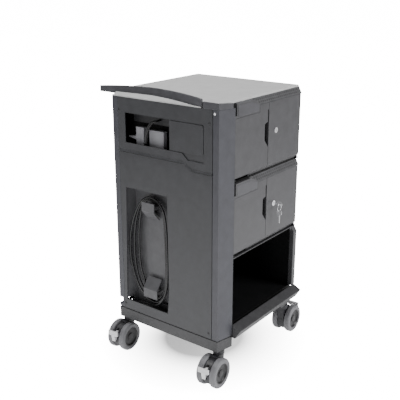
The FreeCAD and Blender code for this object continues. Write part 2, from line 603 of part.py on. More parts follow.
def make_worktop():
    z0, z1 = SLAB_Z, SLAB_Z + SLAB_T
    lip_z = UPPER_Z + MODULE_PITCH - 2.8
    rear = BODY_D + WALL
    slab = prism_x([(0.3, z0), (0.3, lip_z), (-1.2, lip_z + 0.8), (3, z1), (rear, z1), (rear, z0)],
                   0, BODY_W)
    outer, outer_end = rail_line(0)
    inner, inner_end = rail_line(RAIL_T)
    band = Part.Wire([outer, Part.makeLine(outer.valueAt(outer.LastParameter), outer_end),
                      Part.makeLine(outer_end, inner_end),
                      Part.makeLine(inner_end, inner.valueAt(inner.LastParameter)), inner,
                      Part.makeLine(inner.valueAt(inner.FirstParameter),
                                    outer.valueAt(outer.FirstParameter))])
    outside = Part.Wire([outer, Part.makeLine(outer.valueAt(outer.LastParameter), outer_end),
                         Part.makeLine(outer_end, V(-20, RAIL_END, 0)),
                         Part.makeLine(V(-20, RAIL_END, 0), V(-20, CAP_L + 4, 0)),
                         Part.makeLine(V(-20, CAP_L + 4, 0), outer.valueAt(outer.FirstParameter))])
    height = V(0, 0, 60)
    strip = Part.Face(band).extrude(height).translated(V(0, 0, z0))
    beyond = Part.Face(outside).extrude(height).translated(V(0, 0, z0 - 10))
    arch = Part.Arc(V(-1, 0, z0 + RAIL_FRONT_Z), V(-1, 0.55 * RAIL_END, z0 + RAIL_MID_Z),
                    V(-1, RAIL_END, z0 + RAIL_REAR_Z)).toShape()
    a, b = V(-1, 0, z0), V(-1, RAIL_END, z0)
    side = Part.Wire([arch, Part.makeLine(V(-1, RAIL_END, z0 + RAIL_REAR_Z), b), Part.makeLine(b, a),
                      Part.makeLine(a, V(-1, 0, z0 + RAIL_FRONT_Z))])
    parts["worktop_rail"] = strip.common(Part.Face(side).extrude(V(POST_W, 0, 0)))
    cap_plan = [(0, 0), (POST_W - 9, -POST_SLANT * (POST_W - 9) / POST_W), (POST_W - 9, -3),
                (RAIL_T, 6), (RAIL_T, CAP_L), (0, CAP_L)]
    cap = prism_z(cap_plan, COLUMN_TOP, z0 + 30)
    cap_face = prism_y([(-1, COLUMN_TOP), (POST_W, COLUMN_TOP), (POST_W, z0 + SLAB_T - 3),
                        (-1, z0 + RAIL_FRONT_Z)], -POST_SLANT - 5, CAP_L + 1)
    cap = cap.common(cap_face)
    slab = slab.cut(beyond).cut(strip).cut(prism_z([(-5, -20), (POST_W - 9, -20), (POST_W - 9, -3),
                                                   (RAIL_T, 6), (RAIL_T, CAP_L + 4), (-5, CAP_L + 4)],
                                                  z0 - 5, z1 + 5))
    # under the rail the worktop reaches out to the column's side and slopes down to it
    ledge_x, ledge_y = RAIL_IN + RAIL_T + 6, CAP_L + 8
    tongue = box(0.5, ledge_x, ledge_y, BODY_D, COLUMN_TOP, z0)
    slope = prism_y([(0.5, COLUMN_TOP + 1), (RAIL_IN, COLUMN_TOP + LEDGE_H), (RAIL_IN, COLUMN_TOP)],
                    ledge_y, BODY_D).common(beyond)
    parts["worktop"] = joined([slab, tongue, slope])
    parts["corner_cap"] = cap


# ---- casters ------------------------------------------------------------------------------
def ring_of(profile, centre):
    """Turn a (radius, y) outline about the axle."""
    outline = face_of([V(centre.x + r, y, centre.z) for r, y in profile])
    return outline.revolve(centre, V(0, 1, 0), 360)


def caster_pieces():
    """One caster, its stem at the origin, trailing towards -X."""
    axle = V(-TRAIL, 0, WHEEL_R)
    y0, y1 = WHEEL_GAP / 2, WHEEL_GAP / 2 + TYRE_W
    r = WHEEL_R
    tyre_profile = [(HUB_R, y0 + 2), (r - 7, y0), (r - 2, y0 + 4), (r, y0 + 9), (r, y1 - 9), (r - 2, y1 - 4),
                    (r - 7, y1), (HUB_R, y1 - 2)]
    hub_profile = [(0, y0 + 3), (HUB_R, y0 + 3), (HUB_R, y1 - 3), (HUB_R - 5, y1 - 3), (HUB_R - 9, y1 - 9),
                   (13, y1 - 9), (11, y1 - 5), (0, y1 - 5)]
    tyre, hub = ring_of(tyre_profile, axle), ring_of(hub_profile, axle)
    mirror = (V(0, 0, 0), V(0, 1, 0))
    tyres = Part.makeCompound([tyre, tyre.mirror(*mirror)])
    spindle = rod_y(axle.x, axle.z, AXLE_R, -y0 - 4, y0 + 4)
    hubs = joined([hub, hub.mirror(*mirror), spindle])
    half = HOOD_W / 2
    disc = rod_y(axle.x, axle.z, r - 7, -half, half)
    neck = box(-TRAIL, 15, -half, half, WHEEL_R + 14, BASE_Z - 17)
    collar = rod_z(0, 0, COLLAR_R, BASE_Z - 17, BASE_Z - 0.5)
    stem = rod_z(0, 0, STEM_R, BASE_Z - 1, BASE_TOP - DECK_T - 4)
    hood = joined([disc, neck, collar, stem])
    pivot = V(axle.x - r + PEDAL_IN, 0, WHEEL_R + PEDAL_UP)
    slot = box(axle.x - r, pivot.x + 9, -4.6, 4.6, pivot.z - 34, pivot.z + 20)
    hood = hood.cut(slot).fuse(rod_y(pivot.x, pivot.z, PEDAL_PIN_R, -half, half))
    hood = hood.cut(rod_y(axle.x, axle.z, AXLE_R + FIT, -half - 1, half + 1)).removeSplitter()
    out = axle.x - r
    arm = prism_y([(pivot.x + 6, pivot.z - 6), (pivot.x + 6, pivot.z + 6), (out - 9, pivot.z + 12),
                   (out - 9, pivot.z - 2), (out + 1, pivot.z - 22), (out + 6, pivot.z - 26)], -4, 4)
    bar = prism_y([(out - 10, pivot.z + 18), (out - 4, pivot.z + 16), (out - 4.5, pivot.z),
                   (out - 12, pivot.z)], -PEDAL_HALF, PEDAL_HALF)
    toe = prism_y([(out - 12, pivot.z + 4), (out - 5, pivot.z + 4), (out - 1, pivot.z - 24),
                   (out - 7, pivot.z - 26)], -TOE_HALF, TOE_HALF)
    pedal = joined([arm, bar, toe]).cut(rod_y(pivot.x, pivot.z, PEDAL_PIN_R + FIT, -9, 9))
    return {"tyres": tyres, "hubs": hubs, "hood": hood, "pedal": pedal}, axle, pivot


def make_casters():
    pieces, _, _ = caster_pieces()
    for place, (x, y, turn) in stem_places().items():
        for name, shape in pieces.items():
            copy = shape.copy()
            copy.rotate(V(0, 0, 0), V(0, 0, 1), CASTER_YAW + turn)
            copy.translate(V(x, y, 0))
            parts["caster_" + name + "_" + place] = copy


# ---- mains cord ---------------------------------------------------------------------------
def rounded_route(points):
    """Straight runs joined by tangent arcs, each as large as its two runs allow."""
    edges, start, radii = [], points[0], []
    for before, corner, after in zip(points, points[1:], points[2:]):
        back, on = before - corner, after - corner
        shorter = min(back.Length, on.Length)
        back.normalize()
        on.normalize()
        turn = math.pi - back.getAngle(on)
        cut = 0.45 * shorter
        radius = cut / math.tan(turn / 2)
        radii.append(radius)
        first, last = corner + back * cut, corner + on * cut
        inward = back + on
        inward.normalize()
        middle = corner + inward * (radius / math.cos(turn / 2) - radius)
        edges += [Part.LineSegment(start, first).toShape(), Part.Arc(first, middle, last).toShape()]
        start = last
    edges.append(Part.LineSegment(start, points[-1]).toShape())
    return Part.Wire(edges), radii


# from the gland at the back, through the notch and along the tray's floor to the foot of the winding
LEAD_ROUTE = [V(92, 486, 201), V(66, 486, 201), V(38, 473, 201), V(19, 448, 202), V(14, 420, 204),
              V(15, 392, 207), V(17, 363, 211), V(21, 336, 215)]
# outer shape of the winding, which bulges towards the rear
COIL_OUTLINE = [(312, 652), (389, 593), (423, 475), (427, 408), (408, 323), (376, 245), (320, 209),
                (264, 252), (233, 313), (230, 457), (238, 577), (261, 634)]


def make_coil():
    """The wound cord: a ring of the winding's outer shape, open round the two arms."""
    x0, x1 = COIL_X
    spline = Part.BSplineCurve()
    spline.interpolate([V(x0, y, z) for y, z in COIL_OUTLINE], PeriodicFlag=True)
    ring = Part.Face(Part.Wire(spline.toShape())).extrude(V(x1 - x0, 0, 0))
    ring = ring.common(recess_room(1.5, RECESS_LOW - 12, RECESS_TOP))
    r = ARM_HALF + 13
    # the round ends of the opening just clear the arms' corners
    drop = math.sqrt(r ** 2 - ARM_HALF ** 2) - GAP
    z0, z1 = ARM_LOW_Z + drop, ARM_HIGH_Z - drop
    hole = joined([box(x0, x1, ARM_Y - r, ARM_Y + r, z0, z1), rod_x(ARM_Y, z0, r, x0, x1),
                   rod_x(ARM_Y, z1, r, x0, x1)])
    clear = ARM_HALF + 10
    plates = box(x0, CLEAT_X + CLEAT_T + 0.5, ARM_Y - clear, ARM_Y + clear, RECESS_LOW - 20, RECESS_TOP)
    return ring.cut(hole).cut(plates)


def make_cord():
    wire, radii = rounded_route(LEAD_ROUTE)
    print("cord arc radii:", [round(r, 1) for r in radii])
    tube = tube_along(wire, LEAD_ROUTE, CORD_D)
    print("tube volume over section times length:",
          round(tube.Volume / (math.pi * CORD_D ** 2 / 4 * wire.Length), 4))
    parts["mains_cord_lead"] = tube
    parts["mains_cord_coil"] = make_coil()
    plug_x, plug_z = COIL_X[1] - 1, RECESS_LOW - 1
    y0, y1 = PLUG_Y, PLUG_Y + PLUG_L
    half_x, half_z = PLUG_HALF
    body = box(plug_x - half_x, plug_x + half_x, y0, y1, plug_z - half_z, plug_z + half_z)
    boot = rod_y(plug_x, plug_z, PLUG_BOOT_R, y1 - 1, y1 + PLUG_BOOT_L)
    pins = [rod(V(plug_x, y0, plug_z + PIN_PITCH * i), V(0, -1, 0), PIN_R, PIN_L) for i in (-1, 0, 1)]
    parts["mains_plug"] = joined([body.makeFillet(EDGE_R, body.Edges), boot] + pins)
    start = LEAD_ROUTE[0]
    gland = box(*GLAND_X, BODY_D + WALL, start.y + GLAND_HALF, start.z - GLAND_HALF, start.z + GLAND_HALF)
    parts["cord_gland"] = gland.makeFillet(2, gland.Edges)
    parts["cord_strain_relief"] = Part.makeCone(RELIEF_R, RELIEF_END_R, GLAND_X[0] - start.x,
                                                V(GLAND_X[0], start.y, start.z), V(-1, 0, 0))


# ---- build --------------------------------------------------------------------------------
def build():
    make_base()
    make_bumper()
    make_column()
    make_side_panels()
    make_recess()
    make_power_shelf()
    make_modules()
    make_bay()
    make_back()
    make_worktop()
    make_casters()
    make_cord()
    for name, shapes in groups.items():
        parts[name] = Part.makeCompound(shapes)
    os.makedirs("parts", exist_ok=True)
    for name, shape in parts.items():
        placed = shape.translated(-ORIGIN)
        placed.exportStep("parts/" + name + ".step")
    print(len(parts), "nodes")


build()
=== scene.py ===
"""Charging and storage cart: its finished look, built round the CAD's frame.

The sections go from the wound mains cord and its plug to the base and casters, the service
column with its adapters, the cabinets and their doors, the worktop and last the studio.
"""
import bpy
import bmesh
import json
import math
from mathutils import Matrix, Vector

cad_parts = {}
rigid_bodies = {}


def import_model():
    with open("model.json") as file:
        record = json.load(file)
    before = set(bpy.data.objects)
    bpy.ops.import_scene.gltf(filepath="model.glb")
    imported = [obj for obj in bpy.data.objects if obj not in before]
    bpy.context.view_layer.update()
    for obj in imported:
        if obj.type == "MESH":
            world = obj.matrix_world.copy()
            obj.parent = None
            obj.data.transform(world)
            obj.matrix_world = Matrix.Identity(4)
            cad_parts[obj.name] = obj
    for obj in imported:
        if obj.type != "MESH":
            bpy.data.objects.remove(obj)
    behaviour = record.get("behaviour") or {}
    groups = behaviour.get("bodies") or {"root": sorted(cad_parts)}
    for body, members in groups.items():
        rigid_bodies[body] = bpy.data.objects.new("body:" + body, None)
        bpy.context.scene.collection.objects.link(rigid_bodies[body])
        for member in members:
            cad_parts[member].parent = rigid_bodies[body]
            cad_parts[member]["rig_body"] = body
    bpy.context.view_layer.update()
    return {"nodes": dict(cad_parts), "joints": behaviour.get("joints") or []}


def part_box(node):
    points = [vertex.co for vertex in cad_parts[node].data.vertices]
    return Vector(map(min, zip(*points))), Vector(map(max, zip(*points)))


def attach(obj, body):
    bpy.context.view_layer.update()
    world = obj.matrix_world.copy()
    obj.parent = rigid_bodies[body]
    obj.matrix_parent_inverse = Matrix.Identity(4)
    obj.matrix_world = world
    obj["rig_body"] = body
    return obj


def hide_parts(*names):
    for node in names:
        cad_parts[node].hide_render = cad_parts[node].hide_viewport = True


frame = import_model()

# ---- the column's corner, and the camera ----------------------------------------------------
# The cart is measured in millimetres from the front foot of its left side, on the floor: x to
# the right, y to the rear, z up. The camera looks down on the left side and the doors.
left_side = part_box("lower_side_panel")[0].x
door_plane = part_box("upper_cabinet")[0].y


def at(x, y, z):
    """A point of the cart, in millimetres from that corner, as metres of the frame."""
    return Vector((left_side + x / 1000, door_plane + y / 1000, z / 1000))


EYE = (-1767.2, -1270.4, 1429.9)
TILT, HEADING = 71.58, -52.69
LENS, SENSOR_W = 62.43, 36
camera = bpy.data.objects.new("camera", bpy.data.cameras.new("camera"))
bpy.context.collection.objects.link(camera)
camera.location = at(*EYE)
camera.rotation_euler = (math.radians(TILT), 0, math.radians(HEADING))
camera.data.sensor_width = SENSOR_W
camera.data.lens = LENS
bpy.context.scene.camera = camera

# ---- mains cord -----------------------------------------------------------------------------
# Black three-core lead, 8 mm thick. It leaves the strain relief at the back, comes through the
# notch in the rear strip, is wound three times over the cleats and ends in its plug.
lead = [(92, 486, 201), (66, 486, 201), (38, 473, 201), (19, 448, 202), (14, 420, 204),
        (15, 392, 207), (17, 363, 211), (21, 336, 214)]
outer_turn = [(21, 300, 215), (20, 268, 244), (19.5, 247, 296), (19, 240, 375), (19, 240, 460),
              (19.5, 245, 560), (21, 264, 621), (22, 310, 650), (20, 356, 634), (15, 392, 584),
              (10.5, 419, 502), (9.5, 428, 418), (10.5, 415, 338), (14, 387, 266), (21, 347, 226)]
inner_turn = [(37, 318, 250), (37, 288, 262), (37, 272, 310), (37, 268, 380), (37, 268, 460),
              (37, 271, 560), (37, 283, 614), (37, 318, 632), (37, 351, 625), (36, 373, 590),
              (35, 382, 510), (34, 384, 420), (34, 382, 345), (36, 370, 290), (37, 348, 258)]
tail = [(38, 371, 300), (38.5, 366, 266), (39.5, 352, 235), (40, 330, 217), (40, 308, 213),
        (40, 286, 213)]
CORD_D = 8
TURNS = 3
DRAW_IN = 1.5                     # how late in the winding the turns close in
WANDER, WANDER_STEP = 1.2, 1.9    # the strands lie a little unevenly
route = list(lead)
for step in range(TURNS * len(outer_turn) - 2):
    turn, place = divmod(step, len(outer_turn))
    grown = (turn + place / len(outer_turn)) / TURNS
    near, deep = outer_turn[place], inner_turn[place]
    drawn_in = grown ** DRAW_IN
    wander = WANDER * math.sin(WANDER_STEP * step)
    route.append((near[0] + (deep[0] - near[0]) * grown,
                  near[1] + (deep[1] - near[1]) * drawn_in + wander,
                  near[2] + (deep[2] - near[2]) * drawn_in))
route += tail


def curve_piece(name, points, thickness, resolution=8, order=3):
    """A round cord, its line one smooth open NURBS that follows its points; all in millimetres."""
    data = bpy.data.curves.new(name, "CURVE")
    data.dimensions = "3D"
    spline = data.splines.new("NURBS")
    spline.points.add(len(points) - 1)
    for point, place in zip(spline.points, points):
        point.co = (*at(*place), 1)
    spline.use_endpoint_u = True
    spline.order_u = order
    spline.resolution_u = resolution
    data.bevel_depth = thickness / 2000      # half of it, in metres
    data.bevel_resolution = 5
    data.use_fill_caps = True
    piece = bpy.data.objects.new(name, data)
    bpy.context.collection.objects.link(piece)
    return piece


TONE_LOW, TONE_HIGH = 0.3, 0.7      # where the slow noise reaches the darker and lighter tone
GLOSS_UNDER, GLOSS_OVER = 0.07, 0.06
SCUFF_SHARE = 0.35
MOTTLE = 30.0


def added(tree, kind, **values):
    """A new shader node with constants on its sockets, by their names with _ for a space."""
    node = tree.nodes.new(kind)
    for name, value in values.items():
        node.inputs[name.replace("_", " ")].default_value = value
    return node


def plastic(name, colour, roughness, grain=0.00004, size=700.0, drift=0.12, spec=0.5):
    """Moulded plastic: a fine eroded grain, slow drifts of tone and gloss, and faint scuffs."""
    material = bpy.data.materials.new(name)
    material.use_nodes = True
    tree = material.node_tree
    shader, links = tree.nodes["Principled BSDF"], tree.links
    shader.inputs["Specular IOR Level"].default_value = spec
    where = added(tree, "ShaderNodeTexCoord")
    fine = added(tree, "ShaderNodeTexNoise", Scale=size, Detail=3)
    slow = added(tree, "ShaderNodeTexNoise", Scale=MOTTLE, Detail=5)
    scuff = added(tree, "ShaderNodeTexWave", Scale=55, Distortion=28, Detail=4)
    for texture in (fine, slow, scuff):
        links.new(where.outputs["Object"], texture.inputs["Vector"])
    tone = added(tree, "ShaderNodeValToRGB")
    darker, lighter = tone.color_ramp.elements
    darker.position, lighter.position = TONE_LOW, TONE_HIGH
    darker.color = (*(c * (1 - drift) for c in colour), 1)
    lighter.color = (*(min(c * (1 + drift), 1) for c in colour), 1)
    links.new(slow.outputs["Fac"], tone.inputs["Fac"])
    links.new(tone.outputs["Color"], shader.inputs["Base Color"])
    gloss = added(tree, "ShaderNodeMapRange", To_Min=roughness - GLOSS_UNDER,
                  To_Max=roughness + GLOSS_OVER)
    blend = added(tree, "ShaderNodeMath")
    blend.operation = "MULTIPLY_ADD"
    blend.inputs[1].default_value = SCUFF_SHARE
    links.new(scuff.outputs["Fac"], blend.inputs[0])
    links.new(slow.outputs["Fac"], blend.inputs[2])
    links.new(blend.outputs["Value"], gloss.inputs["Value"])
    links.new(gloss.outputs["Result"], shader.inputs["Roughness"])
    relief = added(tree, "ShaderNodeBump", Strength=0.6, Distance=grain)
    links.new(fine.outputs["Fac"], relief.inputs["Height"])
    links.new(relief.outputs["Normal"], shader.inputs["Normal"])
    return material


def finish_with(piece, material, slot, body, *nodes):
    """Give a piece its material, the body it rides on and the nodes it stands for. The slot
    argument is not used.
    """
    piece.data.materials.clear()
    piece.data.materials.append(material)
    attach(piece, body)
    if nodes:
        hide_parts(*nodes)
    return piece


jacket = plastic("cord_jacket", (0.007, 0.007, 0.008), 0.22, grain=0.00003, size=1500)
mains_cord = curve_piece("mains_cord", route, CORD_D)
finish_with(mains_cord, jacket, "cord_jacket", "root", "mains_cord_lead", "mains_cord_coil")


def line_length(piece):
    """Length of a cord's own line, in metres."""
    plain = piece.data.copy()
    plain.bevel_depth = 0
    plain.use_fill_caps = False
    holder = bpy.data.objects.new("measure", plain)
    bpy.context.collection.objects.link(holder)
    bpy.context.view_layer.update()
    shown = holder.evaluated_get(bpy.context.evaluated_depsgraph_get())
    mesh = bpy.data.meshes.new_from_object(shown)
    ends = [[mesh.vertices[i].co for i in edge.vertices] for edge in mesh.edges]
    total = sum((start - end).length for start, end in ends)
    bpy.data.objects.remove(holder)
    return total


# ---- plug -----------------------------------------------------------------------------------
# Moulded mains plug: a rounded body with finger ribs, three bright pins, and a flex guard that
# the cord runs into. It lies at the foot of the winding.
ON_AXIS = 1e-7


def joined_mesh(name, build):
    """A new mesh piece whose faces are made by build(bm)."""
    bm = bmesh.new()
    build(bm)
    bmesh.ops.recalc_face_normals(bm, faces=bm.faces)
    mesh = bpy.data.meshes.new(name)
    bm.to_mesh(mesh)
    bm.free()
    piece = bpy.data.objects.new(name, mesh)
    bpy.context.collection.objects.link(piece)
    return piece


def turned(bm, profile, place, segments=64, closed=True):
    """Turn an outline of (radius, height) points, in metres, about the z of a matrix."""
    rings = []
    for radius, height in profile:
        if radius < ON_AXIS:
            rings.append([bm.verts.new(place @ Vector((0, 0, height)))])
            continue
        angles = [2 * math.pi * i / segments for i in range(segments)]
        points = [Vector((radius * math.cos(a), radius * math.sin(a), height)) for a in angles]
        rings.append([bm.verts.new(place @ point) for point in points])
    pairs = list(zip(rings, rings[1:])) + ([(rings[-1], rings[0])] if closed else [])
    for low, high in pairs:
        if len(low) == 1 and len(high) == 1:
            continue
        for i in range(segments):
            j = (i + 1) % segments
            corners = [low[i % len(low)], low[j % len(low)],
                       high[j % len(high)], high[i % len(high)]]
            bm.faces.new(list(dict.fromkeys(corners)))


def block(bm, low, high):
    """A plain block from one corner to the other; bevels come later."""
    made = bmesh.ops.create_cube(bm, size=1.0)
    middle, size = (low + high) / 2, high - low
    grown = Matrix.Translation(middle) @ Matrix.Diagonal((*size, 1))
    bmesh.ops.transform(bm, matrix=grown, verts=made["verts"])


def rounded(piece, width, segments=3, angle=30):
    """Round a piece's edges, and shade it so that flats stay flat."""
    bevel = piece.modifiers.new("edges", "BEVEL")
    bevel.width, bevel.segments, bevel.limit_method = width, segments, "ANGLE"
    bevel.angle_limit = math.radians(angle)
    bevel.use_clamp_overlap = True
    bevel.miter_outer = "MITER_ARC"
    even = piece.modifiers.new("even", "WEIGHTED_NORMAL")
    even.keep_sharp = True
    for face in piece.data.polygons:
        face.use_smooth = True
    bpy.context.view_layer.update()
    shown = piece.evaluated_get(bpy.context.evaluated_depsgraph_get())
    mesh = bpy.data.meshes.new_from_object(shown)
    piece.modifiers.clear()
    piece.data = mesh
    return piece


steel = bpy.data.materials.new("bright_steel")
steel.use_nodes = True
steel_tree = steel.node_tree
steel_shader, steel_links = steel_tree.nodes["Principled BSDF"], steel_tree.links
steel_shader.inputs["Metallic"].default_value = 0.75
brushed = added(steel_tree, "ShaderNodeTexNoise", Scale=420, Detail=4)
steel_where = added(steel_tree, "ShaderNodeTexCoord")
steel_tone = added(steel_tree, "ShaderNodeValToRGB")
steel_tone.color_ramp.elements[0].color = (0.8, 0.8, 0.82, 1)
steel_tone.color_ramp.elements[1].color = (0.98, 0.98, 1.0, 1)
steel_gloss = added(steel_tree, "ShaderNodeMapRange", To_Min=0.12, To_Max=0.3)
steel_links.new(steel_where.outputs["Object"], brushed.inputs["Vector"])
steel_links.new(brushed.outputs["Fac"], steel_tone.inputs["Fac"])
steel_links.new(steel_tone.outputs["Color"], steel_shader.inputs["Base Color"])
steel_links.new(brushed.outputs["Fac"], steel_gloss.inputs["Value"])
steel_links.new(steel_gloss.outputs["Result"], steel_shader.inputs["Roughness"])

black_plastic = plastic("black_plastic", (0.018, 0.018, 0.02), 0.4)


RIBS, RIB_PITCH = 4, 5
FLEX_GUARD = [(0, -0.002), (0.0078, -0.002), (0.0074, 0.004), (0.0062, 0.008), (0.0066, 0.011),
              (0.0056, 0.014), (0.006, 0.017), (0.0051, 0.021), (0.0054, 0.024), (0.0046, 0.03),
              (0, 0.03)]
PINS, PIN_PITCH = 3, 7.5
PLUG_PIN = [(0, -0.001), (0.0016, -0.001), (0.0016, 0.0085), (0.001, 0.0095), (0, 0.0095)]


def plug_body(bm):
    block(bm, at(34, 241, 201), at(46, 284, 226))
    for rib in range(RIBS):
        y = RIB_PITCH * rib
        block(bm, at(33.2, 258 + y, 204), at(46.8, 260.5 + y, 223))
    guard = Matrix.Translation(at(40, 284, 213)) @ Matrix.Rotation(math.radians(-90), 4, "X")
    turned(bm, FLEX_GUARD, guard, 32, False)


plug = rounded(joined_mesh("plug", plug_body), 0.0012)
finish_with(plug, black_plastic, "black_plastic", "root", "mains_plug")


def plug_pins(bm):
    for i in range(PINS):
        foot = Matrix.Translation(at(40, 242, 205.5 + PIN_PITCH * i))
        turned(bm, PLUG_PIN, foot @ Matrix.Rotation(math.radians(90), 4, "X"), 20, False)


pins = rounded(joined_mesh("plug_pins", plug_pins), 0.0002, 1)
finish_with(pins, steel, "bright_steel", "root")

# ---- gland and strain relief ----------------------------------------------------------------
# The cord comes out of a small moulded box on the rear panel. Its guard tapers and is cut into
# rings so that it bends with the cord.
RINGS, RING_R, RING_TAPER, RING_PITCH = 5, 0.009, 0.0008, 0.0023


def guard_rings(bm):
    place = Matrix.Translation(at(104, 486, 201)) @ Matrix.Rotation(math.radians(-90), 4, "Y")
    profile = [(0, 0), (RING_R, 0)]
    for i in range(RINGS):
        outer, height = RING_R - RING_TAPER * i, RING_PITCH * i
        profile += [(outer, 0.0004 + height), (outer - 0.0003, 0.0017 + height),
                    (outer - 0.0016, 0.0018 + height), (outer - 0.0016, 0.0022 + height)]
    profile += [(0.0042, 0.0116), (0, 0.0116)]
    turned(bm, profile, place, 36, False)


relief = rounded(joined_mesh("strain_relief", guard_rings), 0.0001, 1)
finish_with(relief, black_plastic, "black_plastic", "root", "cord_strain_relief")
round(line_length(mains_cord), 2)


# ---- soft-edged copies of the plain parts ---------------------------------------------------
# Mouldings and folded sheet have no knife edges, so the casings get their moulded or folded
# radius here.
WELD = 2e-5
FLAT = math.radians(1.0)
ANY_SHAPE = math.radians(180)
SAME_AREA = 1e-4


def softened(node, width, material, slot, segments=2, angle=25):
    """A stand-in for a CAD node with its flats made whole and its edges rounded."""
    source = frame["nodes"][node]

    def whole(flats):
        bm = bmesh.new()
        bm.from_mesh(source.data)
        bmesh.ops.remove_doubles(bm, verts=bm.verts, dist=WELD)
        area = sum(face.calc_area() for face in bm.faces)
        if flats:
            bmesh.ops.dissolve_limit(bm, angle_limit=FLAT, verts=bm.verts, edges=bm.edges)
        else:
            bmesh.ops.join_triangles(bm, faces=bm.faces, angle_face_threshold=FLAT,
                                     angle_shape_threshold=ANY_SHAPE)
        mesh = bpy.data.meshes.new(node + "_moulded")
        bm.to_mesh(mesh)
        bm.free()
        mesh.calc_loop_triangles()
        covered = sum(triangle.area for triangle in mesh.loop_triangles)
        return mesh, abs(covered - area) < SAME_AREA * area

    mesh, same = whole(True)
    if not same:
        # a flat with a hole in it stays in pieces, so that the hole stays open
        mesh, same = whole(False)
    piece = bpy.data.objects.new(node + "_moulded", mesh)
    bpy.context.collection.objects.link(piece)
    rounded(piece, width, segments, angle)
    return finish_with(piece, material, slot, source["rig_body"], node)


def painted(node, material):
    """A CAD node whose shape is right keeps it and gets its finish."""
    source = frame["nodes"][node]
    source.data.materials.clear()
    source.data.materials.append(material)


# ---- base -----------------------------------------------------------------------------------
# Structural foam moulding: a deck between two hollow feet, with the wedge-shaped guard fixed
# across its front. Steel bushes take the casters' stems.
base_plastic = plastic("base_moulding", (0.045, 0.045, 0.048), 0.45, grain=0.00006, size=500)
softened("base_chassis", 0.0025, base_plastic, "base_moulding", 3)
softened("front_bumper", 0.004, base_plastic, "base_moulding", 4)
painted("caster_bushes", steel)

# ---- casters --------------------------------------------------------------------------------
# Twin-wheel casters: grey soft tyres on dark hubs, a black hood between the wheels and a white
# pedal that locks them. All four stand turned outwards.
tyre_rubber = plastic("tyre_grey", (0.17, 0.17, 0.18), 0.5, grain=0.00009, size=420, drift=0.06)
hub_plastic = plastic("hub_dark", (0.014, 0.014, 0.016), 0.34, drift=0.2)
hood_plastic = plastic("caster_black", (0.022, 0.022, 0.026), 0.42)
pedal_plastic = plastic("pedal_white", (0.82, 0.82, 0.83), 0.28, drift=0.03)
WHEEL_R, TREAD_INNER, TREAD_OUTER = 0.056, 0.015, 0.040
INNER_SHOULDER, OUTER_SHOULDER = 0.0070, 0.0085
HUB_R = 0.0378
HUB_FACE = TREAD_OUTER - 0.002
AXLE_R, AXLE_END = 0.004, TREAD_INNER + 0.004


def arc(centre_r, centre_y, radius, start, end, count):
    """Points of a round shoulder, as (radius from axle, place along it)."""
    return [(centre_r + radius * math.cos(math.radians(start + (end - start) * i / count)),
             centre_y + radius * math.sin(math.radians(start + (end - start) * i / count)))
            for i in range(count + 1)]


tyre_outline = [(0.0375, TREAD_INNER + 0.003), (0.042, TREAD_INNER + 0.0012)]
tyre_outline += arc(WHEEL_R - INNER_SHOULDER, TREAD_INNER + 0.0074, INNER_SHOULDER, -95, -20, 8)
tyre_outline += [(WHEEL_R, TREAD_INNER + 0.0125)]
tyre_outline += arc(WHEEL_R - OUTER_SHOULDER, TREAD_OUTER - OUTER_SHOULDER, OUTER_SHOULDER,
                    10, 88, 9)
tyre_outline += [(0.0435, TREAD_OUTER - 0.0003), (0.0425, TREAD_OUTER - 0.0016),
                 (0.0415, TREAD_OUTER - 0.0016), (0.0405, TREAD_OUTER - 0.0006),
                 (0.0385, TREAD_OUTER - 0.0012), (0.0375, TREAD_OUTER - 0.003)]
hub_outline = [(0.0, TREAD_INNER + 0.003), (HUB_R, TREAD_INNER + 0.003), (HUB_R, HUB_FACE - 0.0008),
               (0.0368, HUB_FACE), (0.0352, HUB_FACE), (0.0342, HUB_FACE - 0.001),
               (0.0325, HUB_FACE - 0.0042), (0.0305, HUB_FACE - 0.0058), (0.024, HUB_FACE - 0.0068),
               (0.0165, HUB_FACE - 0.0066), (0.0145, HUB_FACE - 0.0058),
               (0.0138, HUB_FACE - 0.0036), (0.0125, HUB_FACE - 0.0026),
               (0.006, HUB_FACE - 0.0021), (0.0, HUB_FACE - 0.002)]
axle_outline = [(0, -AXLE_END), (AXLE_R, -AXLE_END), (AXLE_R, AXLE_END), (0, AXLE_END)]
joints = {joint["name"]: joint for joint in frame["joints"]}

for place in ("fl", "rl", "fr", "rr"):
    spin = joints["wheels_" + place + "_spin"]
    along = Vector(spin["axis"]).normalized()
    up = Vector((0, 0, 1))
    frame_of_wheel = Matrix.Identity(4)
    for column, axis in enumerate((up.cross(along), up, along, Vector(spin["pos_m"]))):
        frame_of_wheel.col[column][:3] = axis

    def tyre_pair(bm):
        for side in (1, -1):
            turned(bm, tyre_outline, frame_of_wheel @ Matrix.Diagonal((1, 1, side, 1)), 96)

    def hub_pair(bm):
        for side in (1, -1):
            turned(bm, hub_outline, frame_of_wheel @ Matrix.Diagonal((1, 1, side, 1)), 96, False)
        turned(bm, axle_outline, frame_of_wheel, 24, False)

    tyres = rounded(joined_mesh("tyres_" + place, tyre_pair), 0.0002, 1, 60)
    finish_with(tyres, tyre_rubber, "tyre_grey", "wheels_" + place, "caster_tyres_" + place)
    hubs = rounded(joined_mesh("hubs_" + place, hub_pair), 0.0003, 2, 30)
    finish_with(hubs, hub_plastic, "hub_dark", "wheels_" + place, "caster_hubs_" + place)
    softened("caster_hood_" + place, 0.0015, hood_plastic, "caster_black", 3, 35)
    softened("caster_pedal_" + place, 0.0018, pedal_plastic, "pedal_white", 3, 35)

